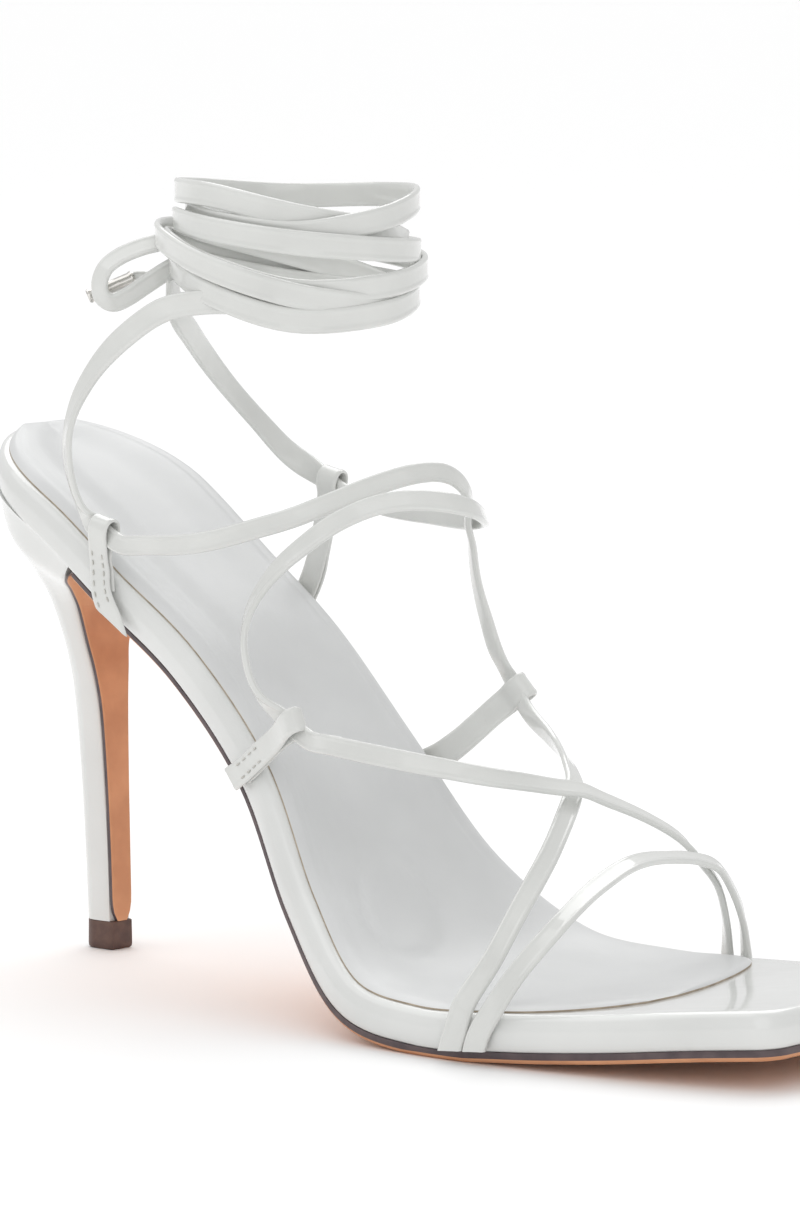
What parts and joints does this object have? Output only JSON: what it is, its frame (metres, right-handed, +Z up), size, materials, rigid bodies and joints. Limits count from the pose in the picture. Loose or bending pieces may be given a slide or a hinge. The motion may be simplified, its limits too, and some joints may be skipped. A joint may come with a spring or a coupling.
{
  "type": "stiletto sandal",
  "caption": "Right-foot open sandal with a square toe, a stiletto heel, thin laced straps run through side loops and a tie wound round the ankle.",
  "frame": {"origin": "middle of the sandal's footprint on the floor, the loose tie left out", "axes": "+X from the heel to the toe, +Y to the wearer's left (inner side of this right foot), +Z up"},
  "size_m": [0.2196, 0.0876, 0.1638],
  "materials": {
    "patent": "glossy white patent",
    "sock": "satin white",
    "sole_leather": "tan, dark painted edge",
    "top_piece": "dark brown, satin",
    "metal_tip": "polished"
  },
  "bodies": {
    "root": {"platform": "patent", "heel": "patent", "upper_straps": "patent", "ankle_tie": "patent", "loop_outer_rear": "patent", "loop_outer_front": "patent", "loop_inner_rear": "patent", "loop_inner_front": "patent", "tie_loop": "patent", "tie_end": "patent", "insole": "sock", "outsole": "sole_leather", "heel_tip": "top_piece", "tie_tip": "metal_tip"}
  },
  "joints": []
}
